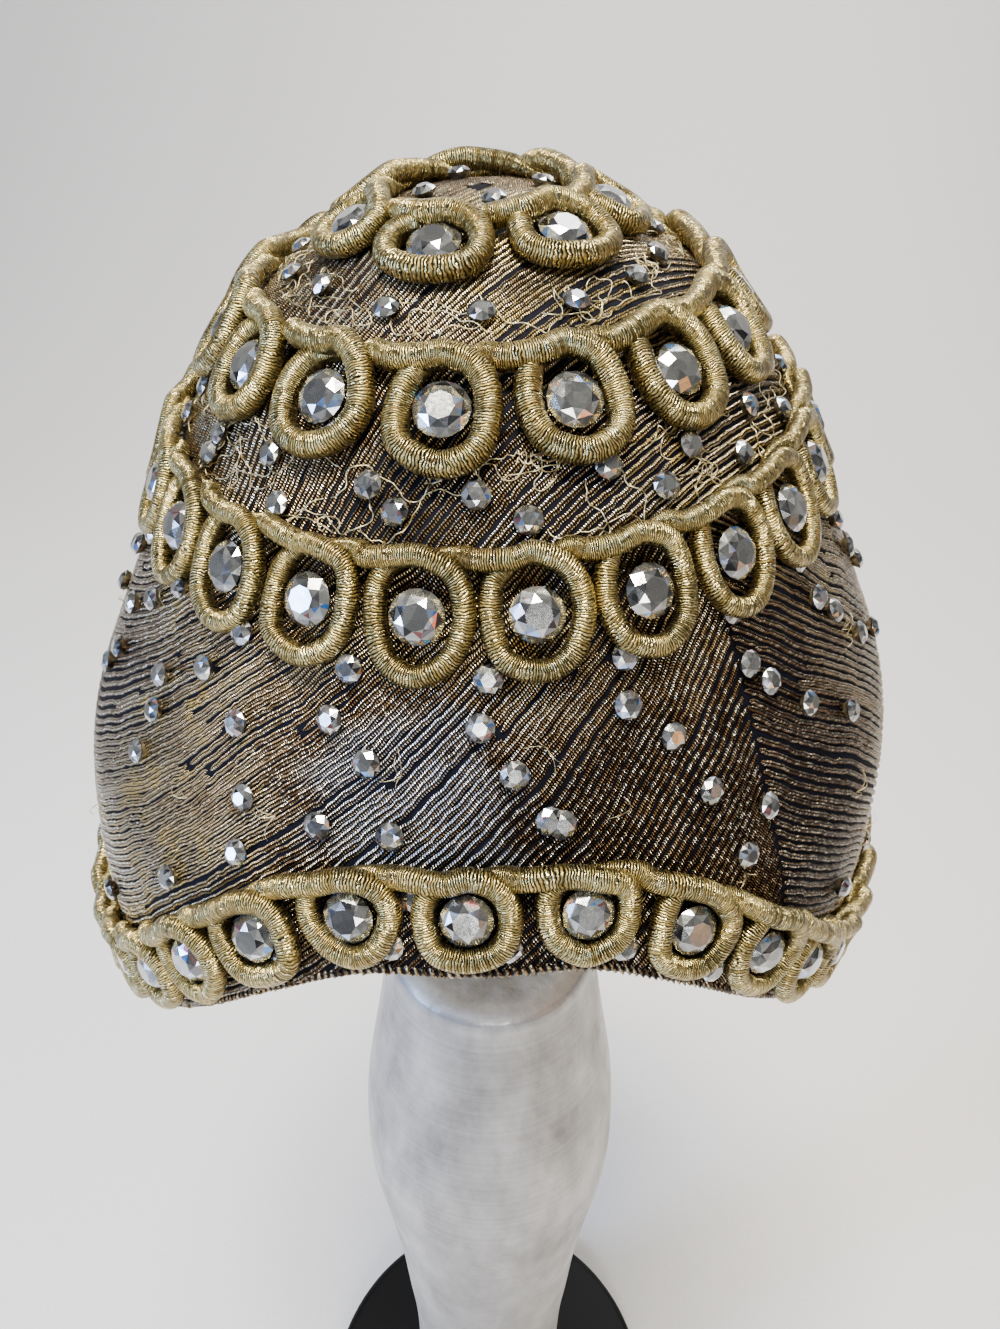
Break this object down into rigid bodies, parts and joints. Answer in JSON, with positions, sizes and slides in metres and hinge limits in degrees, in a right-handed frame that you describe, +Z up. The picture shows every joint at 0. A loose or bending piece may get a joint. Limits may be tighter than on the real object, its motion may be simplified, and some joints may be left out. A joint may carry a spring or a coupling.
{
  "type": "cloche hat on a turned stand",
  "caption": "Close-fitting ribbed metallic cap with an arched rim, rings of looped gilt cord round cut stones, on a silver turned post and black disc base.",
  "frame": {"origin": "middle of the base's underside", "axes": "+Z up along the stand, -Y towards the cap's front, +X to the right seen from the front"},
  "size_m": [0.1869, 0.2087, 0.585],
  "materials": {
    "lame_cloth": "ribbed gold and silver lame, woven metal thread",
    "gilt_cord": "padded cord wrapped in gilt thread",
    "cut_glass": "foil-backed cut glass",
    "silver_leaf": "worn silver leaf on turned wood",
    "black_lacquer": "black lacquer",
    "steel_rod": "plain rod",
    "painted_wood": "dark painted form"
  },
  "bodies": {
    "root": {"base": "black_lacquer", "cap": "lame_cloth", "crown_scroll": "gilt_cord", "crown_stone_1": "cut_glass", "crown_stone_2": "cut_glass", "crown_stone_3": "cut_glass", "crown_stone_4": "cut_glass", "crown_stone_5": "cut_glass", "crown_stone_6": "cut_glass", "crown_stone_7": "cut_glass", "hat_form": "painted_wood", "middle_scroll": "gilt_cord", "middle_stone_1": "cut_glass", "middle_stone_10": "cut_glass", "middle_stone_11": "cut_glass", "middle_stone_12": "cut_glass", "middle_stone_13": "cut_glass", "middle_stone_14": "cut_glass", "middle_stone_15": "cut_glass", "middle_stone_16": "cut_glass", "middle_stone_17": "cut_glass", "middle_stone_18": "cut_glass", "middle_stone_19": "cut_glass", "middle_stone_2": "cut_glass", "middle_stone_20": "cut_glass", "middle_stone_21": "cut_glass", "middle_stone_22": "cut_glass", "middle_stone_3": "cut_glass", "middle_stone_4": "cut_glass", "middle_stone_5": "cut_glass", "middle_stone_6": "cut_glass", "middle_stone_7": "cut_glass", "middle_stone_8": "cut_glass", "middle_stone_9": "cut_glass", "post": "silver_leaf", "rim_scroll": "gilt_cord", "stem": "steel_rod", "upper_scroll": "gilt_cord", "upper_stone_1": "cut_glass", "upper_stone_10": "cut_glass", "upper_stone_11": "cut_glass", "upper_stone_12": "cut_glass", "upper_stone_13": "cut_glass", "upper_stone_14": "cut_glass", "upper_stone_2": "cut_glass", "upper_stone_3": "cut_glass", "upper_stone_4": "cut_glass", "upper_stone_5": "cut_glass", "upper_stone_6": "cut_glass", "upper_stone_7": "cut_glass", "upper_stone_8": "cut_glass", "upper_stone_9": "cut_glass"}
  },
  "joints": []
}
